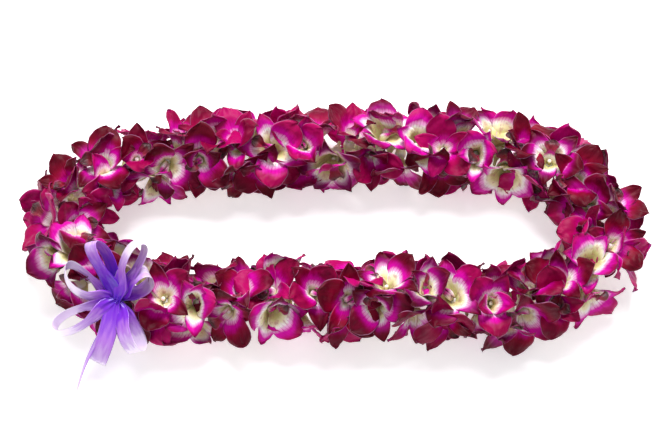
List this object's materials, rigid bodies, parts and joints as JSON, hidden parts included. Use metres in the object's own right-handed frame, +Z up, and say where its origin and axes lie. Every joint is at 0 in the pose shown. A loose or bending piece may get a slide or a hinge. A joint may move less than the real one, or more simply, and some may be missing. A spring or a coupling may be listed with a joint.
{
  "type": "fresh flower lei",
  "caption": "Closed garland of fresh orchid blossoms threaded on one string, laid on a table, with a ribbon bow tied to it.",
  "frame": {"origin": "middle of the lei's outline, on the table it lies on", "axes": "+X along the lei's long side, away from the bow's end; +Z up from the table"},
  "size_m": [0.4749, 0.2324, 0.0764],
  "materials": {
    "petals": "fresh orchid tepals, velvety magenta with cream bases",
    "string": "twisted cotton string",
    "ribbon": "lilac satin ribbon"
  },
  "bodies": {
    "root": {"blossom_01": "petals", "blossom_02": "petals", "blossom_03": "petals", "blossom_04": "petals", "blossom_05": "petals", "blossom_06": "petals", "blossom_07": "petals", "blossom_08": "petals", "blossom_09": "petals", "blossom_10": "petals", "blossom_11": "petals", "blossom_12": "petals", "blossom_13": "petals", "blossom_14": "petals", "blossom_15": "petals", "blossom_16": "petals", "blossom_17": "petals", "blossom_18": "petals", "blossom_19": "petals", "blossom_20": "petals", "blossom_21": "petals", "blossom_22": "petals", "blossom_23": "petals", "blossom_24": "petals", "blossom_25": "petals", "blossom_26": "petals", "blossom_27": "petals", "blossom_28": "petals", "blossom_29": "petals", "blossom_30": "petals", "blossom_31": "petals", "blossom_32": "petals", "blossom_33": "petals", "blossom_34": "petals", "blossom_35": "petals", "blossom_36": "petals", "blossom_37": "petals", "blossom_38": "petals", "blossom_39": "petals", "blossom_40": "petals", "blossom_41": "petals", "blossom_42": "petals", "blossom_43": "petals", "blossom_44": "petals", "blossom_45": "petals", "blossom_46": "petals", "blossom_47": "petals", "blossom_48": "petals", "blossom_49": "petals", "blossom_50": "petals", "blossom_51": "petals", "blossom_52": "petals", "blossom_53": "petals", "blossom_54": "petals", "blossom_55": "petals", "blossom_56": "petals", "string": "string", "ribbon_bow": "ribbon", "bow_tie": "ribbon"}
  },
  "joints": []
}
